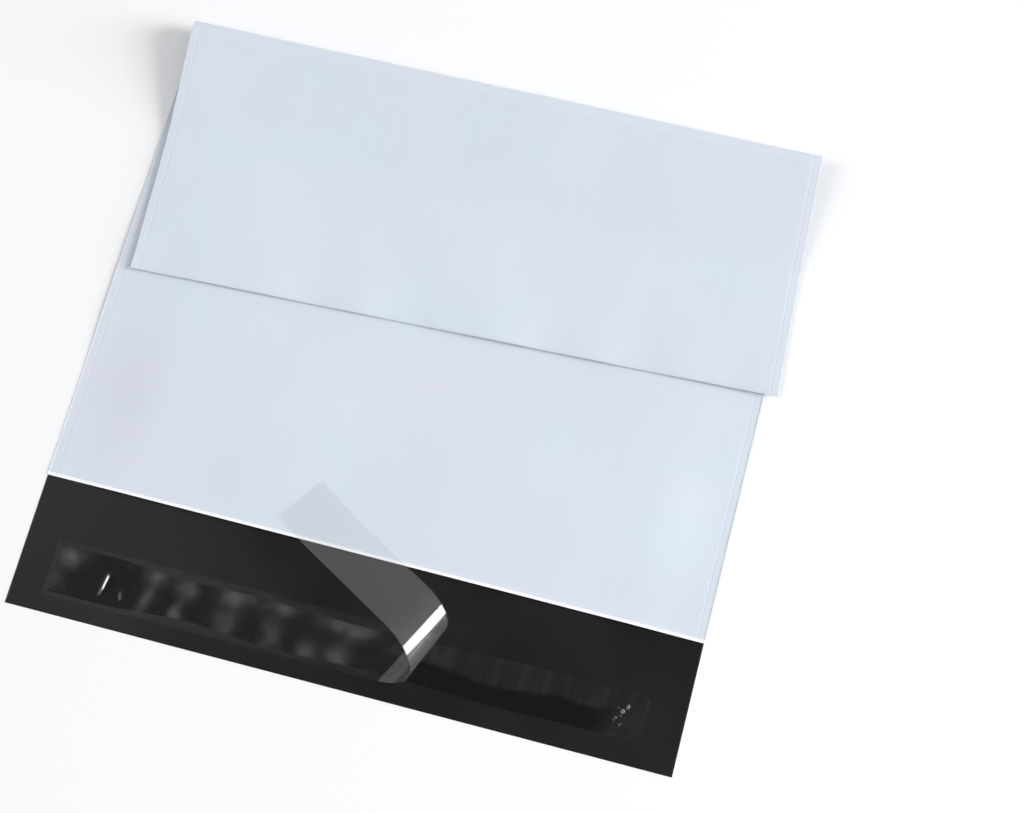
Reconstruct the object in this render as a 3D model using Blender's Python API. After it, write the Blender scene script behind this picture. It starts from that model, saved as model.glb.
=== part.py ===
# A poly mailer bag for posting soft goods, empty and unprinted.
# It lies folded over once, so that its closed end rests on its own front panel.
# The flap at its mouth carries a band of adhesive, and the release liner that covers the
# band is peeled back from the right as far as the middle.
#
# Metres, +Z up. The bag is laid out flat first: X runs across it from the middle, and Y runs
# from the flap's edge to the closed end. Height is measured from the surface that it lies on.
# Folding and peeling then only bend what was laid out, so every length stays true.

import math

import bmesh
import bpy
from mathutils import Matrix, Vector

# The bag
BAG_WIDTH = 0.250
POUCH_DEPTH = 0.300
FLAP_DEPTH = 0.050
FILM_THICKNESS = 0.00006
POUCH_GAP = 0.0004

# The side welds, cut and closed by one hot knife
WELD_WIDTH = 0.0012
WELD_GAP = 0.00006
BEAD_WIDTH = 0.0004
BEAD_HEIGHT = 0.00032

# How far the two panels belly out, and how far in from a weld they reach their full height
FRONT_BILLOW = 0.0009
BACK_BILLOW = 0.0012
BILLOW_EASE = 0.030

# The fold across the bag
PANEL_LEFT_SHOWING = 0.0914
FOLD_SKEW = math.radians(-1.4)
FOLD_RADIUS = 0.0050
FOLD_SLOPE = math.radians(12.0)
FOLD_LANDING_RADIUS = 0.060

# The adhesive band on the flap's inner face
BAND_WIDTH = 0.0180
BAND_THICKNESS = 0.00008
BAND_SIDE_MARGIN = 0.0135
BAND_CORNER_RADIUS = 0.0015

# The release liner
LINER_WIDTH = 0.0210
LINER_THICKNESS = 0.00005
LINER_FROM_FLAP_EDGE = 0.0066
LINER_OVERHANG_LEFT = 0.0015
LINER_PULL_TAB = 0.0100

# The peeled part of the liner. It leaves the band along a leaning line and loops back over
# itself. The line that it bends about turns on the way, so that the free end comes down
# across the mouth.
PEELED_TO = 0.0152
PEEL_LINE = math.radians(62.1)
PEEL_LINE_AT_LOOP_END = math.radians(83.7)
PEEL_LOOP_RADIUS = 0.0113
PEEL_LOOP_TURN = math.radians(200.6)
PEEL_LANDING_RADIUS = 0.040

# The gap between pieces that lie on each other
TOUCH_GAP = 0.0003

# How finely curved and flat stretches are divided, and the least distance between a row of
# vertices straight across and a row along a fold
ARC_STEP = math.radians(9.0)
PANEL_STEP = 0.0140
COLUMN_STEP = 0.0340
LINER_STEP = 0.0300
ROW_CLEARANCE = 0.0020

BAG_LENGTH = FLAP_DEPTH + POUCH_DEPTH
POUCH_THICKNESS = 2 * FILM_THICKNESS + POUCH_GAP
FOLDED_END_Y = FLAP_DEPTH + PANEL_LEFT_SHOWING


def clear_scene():
    for thing in list(bpy.data.objects):
        bpy.data.objects.remove(thing)


def make_material(name, color, roughness, alpha=1.0):
    material = bpy.data.materials.new(name)
    material.use_nodes = True
    shader = material.node_tree.nodes["Principled BSDF"]
    shader.inputs["Base Color"].default_value = (*color, 1.0)
    shader.inputs["Roughness"].default_value = roughness
    shader.inputs["Metallic"].default_value = 0.0
    shader.inputs["Alpha"].default_value = alpha
    return material


def evenly(start, end, longest):
    # Values from start to end, no further apart than longest
    count = max(1, math.ceil(abs(end - start) / longest - 1e-9))
    return [start + (end - start) * i / count for i in range(count + 1)]


def ease(x):
    # Rises from 0 to 1 with level ends
    x = min(1.0, max(0.0, x))
    return x * x * (3.0 - 2.0 * x)


def hump(x, start, end):
    # Rises from 0 at start to 1 half way and falls back to 0 at end
    share = min(1.0, max(0.0, (x - start) / (end - start)))
    return math.sin(math.pi * share) ** 2


def arc(radius, turn):
    # One run of a path: its length, and the angle it turns through
    return radius * abs(turn), turn


def follow(runs, distance, height):
    # Bends a level strip along arcs and straight runs, and goes straight on after the last.
    # Gives how far along and how high a point lands that was this far along and this high.
    along, up, heading = 0.0, 0.0, 0.0
    for length, turn in [*runs, (math.inf, 0.0)]:
        step = min(distance, length)
        if turn:
            radius = length / turn
            swept = step / radius
            along += radius * (math.sin(heading + swept) - math.sin(heading))
            up += radius * (math.cos(heading) - math.cos(heading + swept))
            heading += swept
        else:
            along += step * math.cos(heading)
            up += step * math.sin(heading)
        distance -= step
        if distance <= 0.0:
            break
    return along - height * math.sin(heading), up + height * math.cos(heading)


def fold_back(radius, slope, landing_radius, rise):
    # The runs of a strip that loops back over itself, comes down at a slope and lands level,
    # higher than it started by rise
    drop = radius * (1 + math.cos(slope)) - landing_radius * (1 - math.cos(slope)) - rise
    return [
        arc(radius, math.pi + slope),
        (drop / math.sin(slope), 0.0),
        arc(landing_radius, -slope),
    ]


def path_stations(runs):
    # Distances along a path at which a bent mesh needs a row
    stations, travelled = [0.0], 0.0
    for length, turn in runs:
        longest = length * ARC_STEP / abs(turn) if turn else PANEL_STEP
        stations += [travelled + s for s in evenly(0.0, length, longest)[1:]]
        travelled += length
    return stations


class Bend:
    # Folds the laid-out bag or strip over a straight line through a point, at an angle to X
    def __init__(self, x, y, angle, runs):
        self.start = (x, y)
        self.line = (math.cos(angle), math.sin(angle))
        self.away = (-math.sin(angle), math.cos(angle))
        self.runs = runs

    def distance(self, x, y):
        dx, dy = x - self.start[0], y - self.start[1]
        return dx * self.away[0] + dy * self.away[1]

    def place(self, x, y, z):
        distance = self.distance(x, y)
        if distance <= 0.0:
            return x, y, z
        along, up = follow(self.runs, distance, z)
        shift = along - distance
        return x + shift * self.away[0], y + shift * self.away[1], up


class Grid:
    # Vertices in rows and columns, which faces are then hung on
    def __init__(self, mesh, rows):
        self.mesh = mesh
        self.rows = [[mesh.verts.new(place) if place else None for place in row] for row in rows]

    def skin(self, first_row, last_row, first_column, last_column, upwards):
        for j in range(first_row, last_row):
            low, high = self.rows[j], self.rows[j + 1]
            for i in range(first_column, last_column):
                corners = [low[i], low[i + 1], high[i + 1], high[i]]
                self.mesh.faces.new(corners if upwards else reversed(corners))

    def row(self, j):
        return self.rows[j]

    def column(self, i, first_row, last_row):
        return [row[i] for row in self.rows[first_row:last_row + 1]]


def stitch(mesh, first, second):
    # A strip of faces between two lines of vertices; it faces left of the way from first to second
    for i in range(len(first) - 1):
        mesh.faces.new([first[i], first[i + 1], second[i + 1], second[i]])


def to_object(name, mesh, material, parent):
    bmesh.ops.recalc_face_normals(mesh, faces=mesh.faces)
    data = bpy.data.meshes.new(name)
    mesh.to_mesh(data)
    mesh.free()
    data.materials.append(material)
    thing = bpy.data.objects.new(name, data)
    bpy.context.scene.collection.objects.link(thing)
    thing.parent = parent
    data.shade_smooth()
    data.set_sharp_from_angle(angle=math.radians(40))
    return thing


def bag_fold():
    # The fold starts where its rounded turn leaves the surface, so that the closed end lands
    # at FOLDED_END_Y on the middle line
    rise = 2 * POUCH_THICKNESS + TOUCH_GAP
    runs = fold_back(FOLD_RADIUS, FOLD_SLOPE, FOLD_LANDING_RADIUS, rise)
    bent_length = sum(length for length, turn in runs)
    reach, _ = follow(runs, bent_length, 0.0)
    spent = (bent_length + reach) / math.cos(FOLD_SKEW)
    start = (FOLDED_END_Y + BAG_LENGTH - spent) / 2
    return Bend(0.0, start, -FOLD_SKEW, runs)


def film_columns():
    edge = BAG_WIDTH / 2
    inner = edge - WELD_WIDTH
    ease_to = inner - BILLOW_EASE
    half = [edge, edge - BEAD_WIDTH] + evenly(inner, ease_to, BILLOW_EASE / 4)
    half += evenly(ease_to, 0.0, COLUMN_STEP)[1:-1]
    return [-x for x in half] + [0.0] + half[::-1]


def film_rows(fold):
    # Each row is its place on the middle line and its tilt: rows of the fold lie along its line
    tilt = math.tan(FOLD_SKEW)
    corner_reach = BAG_WIDTH / 2 * abs(tilt) + ROW_CLEARANCE
    fold_rows = [fold.start[1] + s / math.cos(FOLD_SKEW) for s in path_stations(fold.runs)]
    flap = evenly(0.0, FLAP_DEPTH, PANEL_STEP)
    panel = evenly(FLAP_DEPTH, fold.start[1] - corner_reach, PANEL_STEP)[1:]
    cavity_end = BAG_LENGTH - FILM_THICKNESS
    folded_half = evenly(fold_rows[-1] + corner_reach, cavity_end, PANEL_STEP)
    straight_start = [(y, 0.0) for y in flap + panel]
    straight_end = [(y, 0.0) for y in [*folded_half, BAG_LENGTH]]
    return straight_start + [(y, tilt) for y in fold_rows] + straight_end, len(flap) - 1


def side_ease(x):
    return ease((BAG_WIDTH / 2 - WELD_WIDTH - abs(x)) / BILLOW_EASE)


def front_height(x, y):
    # The height of the pouch's inner face, under the front panel
    closed = ease((BAG_LENGTH - y) / BILLOW_EASE)
    gap = WELD_GAP + (POUCH_GAP - WELD_GAP) * side_ease(x) * closed
    belly = FRONT_BILLOW * hump(y, FLAP_DEPTH, FOLDED_END_Y - BILLOW_EASE / 2)
    return FILM_THICKNESS + gap + belly * side_ease(x)


def back_height(x, y, fold):
    # The back panel lies on the floor as far as the fold, and bellies out beyond it
    landed = fold.start[1] + sum(length for length, turn in fold.runs)
    return -BACK_BILLOW * hump(y, landed, BAG_LENGTH) * side_ease(x)


def add_bag(parent, fold):
    # One film, white outside and black inside: its long side is the back panel and the flap,
    # its short side the front panel. It is folded at the closed end and welded down the sides.
    columns = film_columns()
    rows, mouth = film_rows(fold)
    last_row, last = len(rows) - 1, len(columns) - 1
    weld, far_weld = 2, last - 2
    mesh = bmesh.new()

    def grid(height, first_row, inset):
        laid = []
        for j, (middle, tilt) in enumerate(rows):
            line = []
            for i, x in enumerate(columns):
                y = middle - tilt * x
                kept = j >= first_row and inset <= i <= last - inset
                line.append(fold.place(x, y, height(i, x, y)) if kept else None)
            laid.append(line)
        return Grid(mesh, laid)

    def underside(i, x, y):
        return back_height(x, y, fold)

    def back_inside(i, x, y):
        return back_height(x, y, fold) + FILM_THICKNESS

    def front_inside(i, x, y):
        return front_height(x, y)

    def front_outside(i, x, y):
        if i in (1, last - 1):
            return BEAD_HEIGHT
        return front_height(x, y) + FILM_THICKNESS

    outer_back = grid(underside, 0, 0)
    inner_back = grid(back_inside, 0, 0)
    inner_front = grid(front_inside, mouth, weld)
    outer_front = grid(front_outside, mouth, 0)
    cavity_end = last_row - 1

    outer_back.skin(0, last_row, 0, last, False)
    inner_back.skin(0, mouth, 0, last, True)
    inner_back.skin(mouth, cavity_end, weld, far_weld, True)
    inner_front.skin(mouth, cavity_end, weld, far_weld, False)
    outer_front.skin(mouth, last_row, 0, last, True)

    # The mouth's lip, and the cut ends of the two side welds
    stitch(mesh, inner_front.row(mouth)[weld:far_weld + 1], outer_front.row(mouth)[weld:far_weld + 1])
    for near, far in ((0, weld), (last, far_weld)):
        step = 1 if far > near else -1
        below = [inner_back.row(mouth)[i] for i in range(near, far + step, step)]
        above = [outer_front.row(mouth)[i] for i in range(far, near - step, -step)]
        mesh.faces.new(below + [inner_front.row(mouth)[far]] + above)

    # The cavity's walls
    floor_end = inner_back.row(cavity_end)[weld:far_weld + 1]
    stitch(mesh, floor_end, inner_front.row(cavity_end)[weld:far_weld + 1])
    for i in (weld, far_weld):
        floor_side = inner_back.column(i, mouth, cavity_end)
        stitch(mesh, floor_side, inner_front.column(i, mouth, cavity_end))

    # The outer edges
    stitch(mesh, outer_back.row(0), inner_back.row(0))
    stitch(mesh, outer_back.row(last_row), outer_front.row(last_row))
    for i in (0, last):
        stitch(mesh, outer_back.column(i, 0, mouth), inner_back.column(i, 0, mouth))
        low, high = outer_back.column(i, mouth, last_row), outer_front.column(i, mouth, last_row)
        mesh.faces.new([low[0], low[1], high[1], high[0], inner_back.row(mouth)[i]])
        stitch(mesh, low[1:], high[1:])

    spare = [v for v in mesh.verts if not v.link_faces]
    bmesh.ops.delete(mesh, geom=spare, context="VERTS")
    film = make_material("white_film", (0.72, 0.76, 0.82), 0.35)
    return to_object("mailer_film", mesh, film, parent)


def add_adhesive(parent):
    # A hot-melt band, a little narrower than its liner and centred under it
    half_length = BAG_WIDTH / 2 - BAND_SIDE_MARGIN
    middle = LINER_FROM_FLAP_EDGE + LINER_WIDTH / 2
    radius = BAND_CORNER_RADIUS
    bottom = FILM_THICKNESS + TOUCH_GAP
    mesh = bmesh.new()
    outline = []
    for corner in range(4):
        side_x = 1 if corner in (0, 3) else -1
        side_y = 1 if corner in (0, 1) else -1
        for angle in evenly(corner * math.pi / 2, (corner + 1) * math.pi / 2, math.pi / 8):
            x = side_x * (half_length - radius) + radius * math.cos(angle)
            y = middle + side_y * (BAND_WIDTH / 2 - radius) + radius * math.sin(angle)
            outline.append(mesh.verts.new((x, y, bottom)))
    face = mesh.faces.new(outline)
    raised = bmesh.ops.extrude_face_region(mesh, geom=[face])
    top = [item for item in raised["geom"] if isinstance(item, bmesh.types.BMVert)]
    bmesh.ops.translate(mesh, verts=top, vec=(0.0, 0.0, BAND_THICKNESS))
    glue = make_material("adhesive", (0.025, 0.024, 0.022), 0.18)
    return to_object("adhesive_band", mesh, glue, parent)


class PeeledStrip:
    # A level strip, followed along its middle line while it bends about lines that may lean.
    # A row is kept for each bend: its place on the laid-out strip, the lean of its line, the
    # point on the middle line, the way across along the line, and the way out of the surface.
    def __init__(self, place, centre):
        self.place = place
        self.centre = Vector(centre)
        self.facing = Matrix.Identity(3)
        self.rows = []

    def axis(self, angle):
        # A line in the strip's surface, at an angle to its length
        return self.facing @ Vector((math.cos(angle), math.sin(angle), 0.0))

    def mark(self, lean):
        across = self.facing @ Vector((lean, 1.0, 0.0))
        out = self.facing @ Vector((0.0, 0.0, 1.0))
        self.rows.append((self.place, lean, self.centre.copy(), across, out))

    def advance(self, length):
        self.centre += length * (self.facing @ Vector((1.0, 0.0, 0.0)))
        self.place += length

    def bend(self, radius, turn, first_angle, last_angle):
        # Turns about a line whose angle to the strip goes evenly from the first to the last
        steps = max(1, math.ceil(abs(turn) / ARC_STEP))
        step = turn / steps
        for k in range(steps):
            angle = first_angle + (last_angle - first_angle) * (k + 0.5) / steps
            half_turn = Matrix.Rotation(-step / 2, 3, self.axis(angle))
            self.facing = half_turn @ self.facing
            self.advance(radius * abs(step) / math.sin(angle))
            self.facing = half_turn @ self.facing
            next_angle = first_angle + (last_angle - first_angle) * (k + 1) / steps
            self.mark(1 / math.tan(next_angle))


def peel_liner(middle_y):
    # Loops the liner back, brings it straight down and lands it level on the front panel
    resting = FILM_THICKNESS + BAND_THICKNESS + 2 * TOUCH_GAP
    landing = POUCH_THICKNESS + FRONT_BILLOW + TOUCH_GAP + LINER_THICKNESS
    strip = PeeledStrip(PEELED_TO, (PEELED_TO, middle_y, resting))
    strip.mark(1 / math.tan(PEEL_LINE))
    strip.bend(PEEL_LOOP_RADIUS, PEEL_LOOP_TURN, PEEL_LINE, PEEL_LINE_AT_LOOP_END)

    # The level line in the sloping surface, which the landing bends about
    along, across, out = strip.facing.col
    level = out.cross(Vector((0.0, 0.0, 1.0))).normalized()
    if level.dot(across) < 0.0:
        level = -level
    level_angle = math.atan2(level.dot(across), level.dot(along))
    slope = math.acos(-out.z)
    landing_drop = PEEL_LANDING_RADIUS * (1 - math.cos(slope))
    strip.advance((strip.centre.z - landing - landing_drop) / -along.z)
    strip.mark(1 / math.tan(level_angle))
    strip.bend(PEEL_LANDING_RADIUS, -slope, level_angle, level_angle)
    strip.advance(BAG_WIDTH)
    strip.mark(0.0)
    return strip.rows, resting


def cut_square(laid, cut):
    # Ends a peeled strip square across. Each row is a list of (place, point) pairs, one for
    # each column, and a leaning row that crosses the cut gives way to it.
    whole = [row for row in laid if max(place for place, point in row) < cut - LINER_THICKNESS]
    last_row = []
    for column in zip(*laid):
        beyond = next(k for k, (place, point) in enumerate(column) if place >= cut)
        (near, near_point), (far, far_point) = column[beyond - 1], column[beyond]
        last_row.append(near_point.lerp(far_point, (cut - near) / (far - near)))
    return [[point for place, point in row] for row in whole] + [last_row]


def add_liner(parent):
    near = LINER_FROM_FLAP_EDGE
    middle_y = near + LINER_WIDTH / 2
    left = BAND_SIDE_MARGIN - LINER_OVERHANG_LEFT - BAG_WIDTH / 2
    right = BAG_WIDTH / 2 - BAND_SIDE_MARGIN + LINER_PULL_TAB
    sides = evenly(near, near + LINER_WIDTH, LINER_WIDTH / 2)
    peeled, resting = peel_liner(middle_y)
    first_lean = abs(peeled[0][1]) * LINER_WIDTH / 2 + ROW_CLEARANCE
    straight = evenly(left, PEELED_TO - first_lean, LINER_STEP)
    mesh = bmesh.new()

    def grid(height):
        laid = []
        for x in straight:
            laid.append([(x, Vector((x, y, resting + height))) for y in sides])
        for place, lean, centre, across, out in peeled:
            row = []
            for y in sides:
                offset = y - middle_y
                row.append((place + lean * offset, centre + offset * across + height * out))
            laid.append(row)
        return Grid(mesh, cut_square(laid, right))

    under, over = grid(0.0), grid(LINER_THICKNESS)
    last_row, last = len(under.rows) - 1, len(sides) - 1
    under.skin(0, last_row, 0, last, False)
    over.skin(0, last_row, 0, last, True)
    for j in (0, last_row):
        stitch(mesh, under.row(j), over.row(j))
    for i in (0, last):
        stitch(mesh, under.column(i, 0, last_row), over.column(i, 0, last_row))
    clear_film = make_material("release_liner", (0.80, 0.80, 0.79), 0.25, 0.35)
    return to_object("release_liner", mesh, clear_film, parent)


def centre_on_floor(parent, things):
    # Puts the origin under the middle of the whole bag
    corners = [v.co for thing in things for v in thing.data.vertices]
    for axis in (0, 1):
        values = [corner[axis] for corner in corners]
        parent.location[axis] = -(min(values) + max(values)) / 2


def main():
    clear_scene()
    bag = bpy.data.objects.new("poly_mailer", None)
    bpy.context.scene.collection.objects.link(bag)
    fold = bag_fold()
    things = [add_bag(bag, fold), add_adhesive(bag), add_liner(bag)]
    centre_on_floor(bag, things)
    bpy.context.view_layer.update()


main()
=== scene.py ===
# A poly mailer bag: white film with a black inner face, folded over once, with the release
# liner of its flap peeled half back. Metres, Z up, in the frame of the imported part.
import math

import bpy
from mathutils import Matrix, Vector


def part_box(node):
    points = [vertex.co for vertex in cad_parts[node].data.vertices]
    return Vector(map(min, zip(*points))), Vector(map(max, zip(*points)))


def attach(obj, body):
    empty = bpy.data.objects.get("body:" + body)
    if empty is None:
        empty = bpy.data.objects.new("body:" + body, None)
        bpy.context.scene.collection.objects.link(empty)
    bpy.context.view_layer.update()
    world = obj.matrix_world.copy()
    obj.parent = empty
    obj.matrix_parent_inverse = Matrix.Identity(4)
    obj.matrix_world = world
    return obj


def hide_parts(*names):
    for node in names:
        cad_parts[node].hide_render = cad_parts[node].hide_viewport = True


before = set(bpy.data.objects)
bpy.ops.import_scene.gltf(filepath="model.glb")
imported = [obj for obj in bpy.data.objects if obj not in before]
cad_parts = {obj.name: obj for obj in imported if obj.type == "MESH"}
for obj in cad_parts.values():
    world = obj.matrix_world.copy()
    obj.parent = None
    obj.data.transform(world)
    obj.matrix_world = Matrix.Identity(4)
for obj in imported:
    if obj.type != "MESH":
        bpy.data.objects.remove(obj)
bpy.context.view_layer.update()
scene = bpy.context.scene


# Node trees

seamDistance = 0.000002  # points nearer than this become one, along the seam of a thin shell
socketKinds = {float: "Float", int: "Int", tuple: "Vector"}
socketKinds |= {bpy.types.Object: "Object", bpy.types.Material: "Material"}


class Value:
    # A number in a node tree: arithmetic on it adds Math nodes
    def __init__(self, nodes, socket):
        self.nodes = nodes
        self.socket = socket

    def __add__(self, other):
        return self.nodes.calc("ADD", self, other)

    def __radd__(self, other):
        return self.nodes.calc("ADD", other, self)

    def __sub__(self, other):
        return self.nodes.calc("SUBTRACT", self, other)

    def __rsub__(self, other):
        return self.nodes.calc("SUBTRACT", other, self)

    def __mul__(self, other):
        return self.nodes.calc("MULTIPLY", self, other)

    def __rmul__(self, other):
        return self.nodes.calc("MULTIPLY", other, self)

    def __truediv__(self, other):
        return self.nodes.calc("DIVIDE", self, other)

    def __neg__(self):
        return 0.0 - self

    def __abs__(self):
        return self.nodes.calc("ABSOLUTE", self)


class Nodes:
    # Adds nodes to a tree, with their settings and inputs in one call
    def __init__(self, tree):
        self.tree = tree

    def put(self, value, socket):
        if isinstance(value, Value):
            value = value.socket
        if isinstance(value, bpy.types.NodeSocket):
            self.tree.links.new(value, socket)
        else:
            socket.default_value = value

    def add(self, kind, inputs=None, **settings):
        node = self.tree.nodes.new(kind)
        for name, value in settings.items():
            setattr(node, name, value)
        for name, value in (inputs or {}).items():
            self.put(value, node.inputs[name])
        return node

    def calc(self, operation, *values):
        node = self.add("ShaderNodeMath", dict(enumerate(values)), operation=operation)
        return Value(self, node.outputs[0])

    def smooth(self, value, low, high, start=0.0, end=1.0):
        ramp = {0: value, 1: low, 2: high, 3: start, 4: end}
        node = self.add("ShaderNodeMapRange", ramp, interpolation_type="SMOOTHSTEP")
        return Value(self, node.outputs[0])

    def vector(self, x, y, z=0.0):
        return self.add("ShaderNodeCombineXYZ", {0: x, 1: y, 2: z}).outputs[0]

    def split(self, vector):
        node = self.add("ShaderNodeSeparateXYZ", {0: vector})
        return [Value(self, socket) for socket in node.outputs]

    def noise(self, vector, size, detail):
        # From 0 to 1, its size in features per metre
        inputs = {"Vector": vector, "Scale": size, "Detail": detail}
        return Value(self, self.add("ShaderNodeTexNoise", inputs).outputs[0])

    def pattern(self, vector, size, detail, span, values=(0.0, 1.0)):
        # Noise, with this span of it stretched over the values
        return self.smooth(self.noise(vector, size, detail), *span, *values)

    def wander(self, vector, size, detail, reach):
        # Noise around zero, up to half the reach either way
        return (self.noise(vector, size, detail) - 0.5) * reach

    # For materials

    def blend(self, amount, first, second):
        mix = self.add("ShaderNodeMix", {0: amount, 6: first, 7: second}, data_type="RGBA")
        return mix.outputs[2]

    def bump(self, height):
        inputs = {"Strength": 1.0, "Distance": 1.0, "Height": height}
        return self.add("ShaderNodeBump", inputs).outputs[0]

    # For shapes

    def flatPlace(self):
        # Where a point lies on the flat sheet, as makeSheet stored it
        place = self.add("GeometryNodeInputNamedAttribute", {"Name": "webPlace"}, data_type="FLOAT_VECTOR")
        return self.split(place.outputs[0])[:2]

    def move(self, geometry, **inputs):
        return self.add("GeometryNodeSetPosition", {"Geometry": geometry, **inputs}).outputs[0]

    def extrude(self, mesh, inputs):
        # The sides and the far face in one mesh, and which of its faces are the far one
        node = self.add("GeometryNodeExtrudeMesh", {"Mesh": mesh, "Individual": False, **inputs})
        return node.outputs["Mesh"], node.outputs["Top"]

    def flip(self, mesh):
        return self.add("GeometryNodeFlipFaces", {"Mesh": mesh}).outputs[0]

    def dress(self, geometry, material, selection=True):
        inputs = {"Geometry": geometry, "Material": material, "Selection": selection}
        return self.add("GeometryNodeSetMaterial", inputs).outputs[0]

    def join(self, *parts):
        node = self.add("GeometryNodeJoinGeometry")
        for part in parts:
            self.put(part, node.inputs[0])
        return node.outputs[0]

    def close(self, *parts):
        # Joins the parts of a thin shell and merges the points along their seam
        inputs = {"Geometry": self.join(*parts), "Distance": seamDistance}
        return self.add("GeometryNodeMergeByDistance", inputs).outputs[0]

    def makeReal(self, geometry):
        # Plain geometry in place of instances, and smooth
        real = self.add("GeometryNodeRealizeInstances", {"Geometry": geometry}).outputs[0]
        return self.add("GeometryNodeSetShadeSmooth", {"Geometry": real}).outputs[0]

    def finish(self, geometry):
        self.put(geometry, self.add("NodeGroupOutput").inputs[0])


def newGeometryTree(name, values):
    # A tree with one named input for each value, of that value's kind
    tree = bpy.data.node_groups.new(name, "GeometryNodeTree")
    tree.interface.new_socket("Geometry", in_out="INPUT", socket_type="NodeSocketGeometry")
    for label, value in values.items():
        kind = "NodeSocket" + socketKinds[type(value)]
        tree.interface.new_socket(label, in_out="INPUT", socket_type=kind)
    tree.interface.new_socket("Geometry", in_out="OUTPUT", socket_type="NodeSocketGeometry")
    nodes = Nodes(tree)
    source = nodes.add("NodeGroupInput")
    given = {socket.name: Value(nodes, socket) for socket in source.outputs if socket.name}
    return tree, nodes, given


def runTree(piece, tree, values):
    # Puts the tree on the piece, sets its inputs, and keeps the result as a plain mesh
    modifier = piece.modifiers.new(tree.name, "NODES")
    modifier.node_group = tree
    for item in tree.interface.items_tree:
        if item.in_out == "INPUT" and item.name in values:
            modifier[item.identifier] = values[item.name]
    bpy.context.view_layer.update()
    graph = bpy.context.evaluated_depsgraph_get()
    mesh = bpy.data.meshes.new_from_object(piece.evaluated_get(graph))
    piece.modifiers.clear()
    piece.data = mesh


def addObject(name, data):
    thing = bpy.data.objects.new(name, data)
    scene.collection.objects.link(thing)
    return thing


def evenly(start, end, longest):
    # Places from start to end, no further apart than longest, with room for a rounding error
    count = max(1, math.ceil(abs(end - start) / longest - 1e-9))
    return [start + (end - start) * i / count for i in range(count + 1)]


def makeSheet(name, points, places, across):
    # A grid of faces from rows of points, each with its place on the flat sheet
    faces = []
    for rowStart in range(0, len(points) - across, across):
        for low in range(rowStart, rowStart + across - 1):
            faces.append((low, low + 1, low + across + 1, low + across))
    mesh = bpy.data.meshes.new(name)
    mesh.from_pydata(points, [], faces)
    stored = mesh.attributes.new("webPlace", "FLOAT_VECTOR", "POINT")
    stored.data.foreach_set("vector", [value for place in places for value in place])
    uv = mesh.uv_layers.new(name="UVMap")
    for loop in mesh.loops:
        uv.data[loop.index].uv = places[loop.vertex_index][:2]
    return mesh


# Materials. The size of a pattern is in features per metre.

def newMaterial(name):
    material = bpy.data.materials.new(name)
    material.use_nodes = True
    nodes = Nodes(material.node_tree)
    shader = material.node_tree.nodes["Principled BSDF"]
    return material, nodes, shader


def setShader(nodes, shader, **values):
    for name, value in values.items():
        nodes.put(value, shader.inputs[name.replace("_", " ")])


whiteFilm = {
    "cool": (0.640, 0.710, 0.778, 1.0),
    "warm": (0.662, 0.698, 0.778, 1.0),
    "mottle": {"size": 16.0, "detail": 3.0, "span": (0.35, 0.65)},
    "lip": (0.93, 0.94, 0.95, 1.0),  # painted highlight: the film is painted near white along the mouth's cut, where its raised lip catches the light
    "lipHighlightFrom": 0.0015,  # before the cut, where the painted highlight starts and where it is full
    "lipHighlightFull": 0.0009,
    "weldLine": 0.0029,  # from each side, where the weld's inner edge shows
    "weldLineWidth": 0.0004,
    "weldLineDepth": 0.00004,
    "roughness": {"size": 48.0, "detail": 2.0, "span": (0.3, 0.7), "values": (0.29, 0.39)},
    "grain": {"size": 900.0, "detail": 2.0},
    "grainDepth": 0.00002,
    "drawn": {"size": 1.0, "detail": 2.0},  # faint lines along the way that the film was drawn
    "drawnAcross": 220.0,  # features per metre, which the pattern's size multiplies
    "drawnAlong": 9.0,
    "drawnDepth": 0.00004,
    "index": 1.5,
}


def makeWhiteFilm(mouth, side):
    # The UV map holds the place on the web: across from its middle, and along from the flap's edge
    material, nodes, shader = newMaterial("white_film")
    place = nodes.add("ShaderNodeUVMap", uv_map="UVMap").outputs[0]
    across, along, _ = nodes.split(place)
    tint = nodes.blend(nodes.pattern(place, **whiteFilm["mottle"]), whiteFilm["cool"], whiteFilm["warm"])
    # Painted highlight: the film is painted near white along the mouth's edge
    paintedLipHighlight = nodes.smooth(along, mouth - whiteFilm["lipHighlightFrom"], mouth - whiteFilm["lipHighlightFull"])
    tint = nodes.blend(paintedLipHighlight, tint, whiteFilm["lip"])
    grain = nodes.noise(place, **whiteFilm["grain"]) * whiteFilm["grainDepth"]
    stretched = nodes.vector(across * whiteFilm["drawnAcross"], along * whiteFilm["drawnAlong"])
    drawn = nodes.noise(stretched, **whiteFilm["drawn"]) * whiteFilm["drawnDepth"]
    fromLine = abs(abs(across) - (side - whiteFilm["weldLine"]))
    groove = nodes.smooth(fromLine, 0.0, whiteFilm["weldLineWidth"], whiteFilm["weldLineDepth"], 0.0)
    setShader(nodes, shader, Base_Color=tint, Normal=nodes.bump(grain + drawn - groove))
    setShader(nodes, shader, Roughness=nodes.pattern(place, **whiteFilm["roughness"]))
    setShader(nodes, shader, IOR=whiteFilm["index"])
    return material


blackFilm = {
    "dark": (0.0030, 0.0032, 0.0034, 1.0),
    "light": (0.0165, 0.0175, 0.0195, 1.0),
    "paleFrom": -0.030,  # the film's tint is paler towards its left side
    "paleTo": -0.105,
    "paleShare": 0.62,  # of the tint, which is patchy for the rest
    "patches": {"size": 14.4, "detail": 2.0, "span": (0.35, 0.65)},
    "cut": (0.075, 0.076, 0.080, 1.0),  # painted highlight: a paler, broken line along the film's cut sides, where their edges catch the light
    "edgeHighlightReach": 0.0006,
    "edgeHighlightBreaks": {"size": 130.0, "detail": 3.0, "span": (0.35, 0.65), "values": (0.15, 1.0)},
    "roughness": {"size": 24.0, "detail": 3.0, "span": (0.3, 0.7), "values": (0.33, 0.47)},
    "specular": 0.24,
    "index": 1.5,
    "grain": {"size": 700.0, "detail": 2.0},
    "grainDepth": 0.00002,
}


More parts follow.
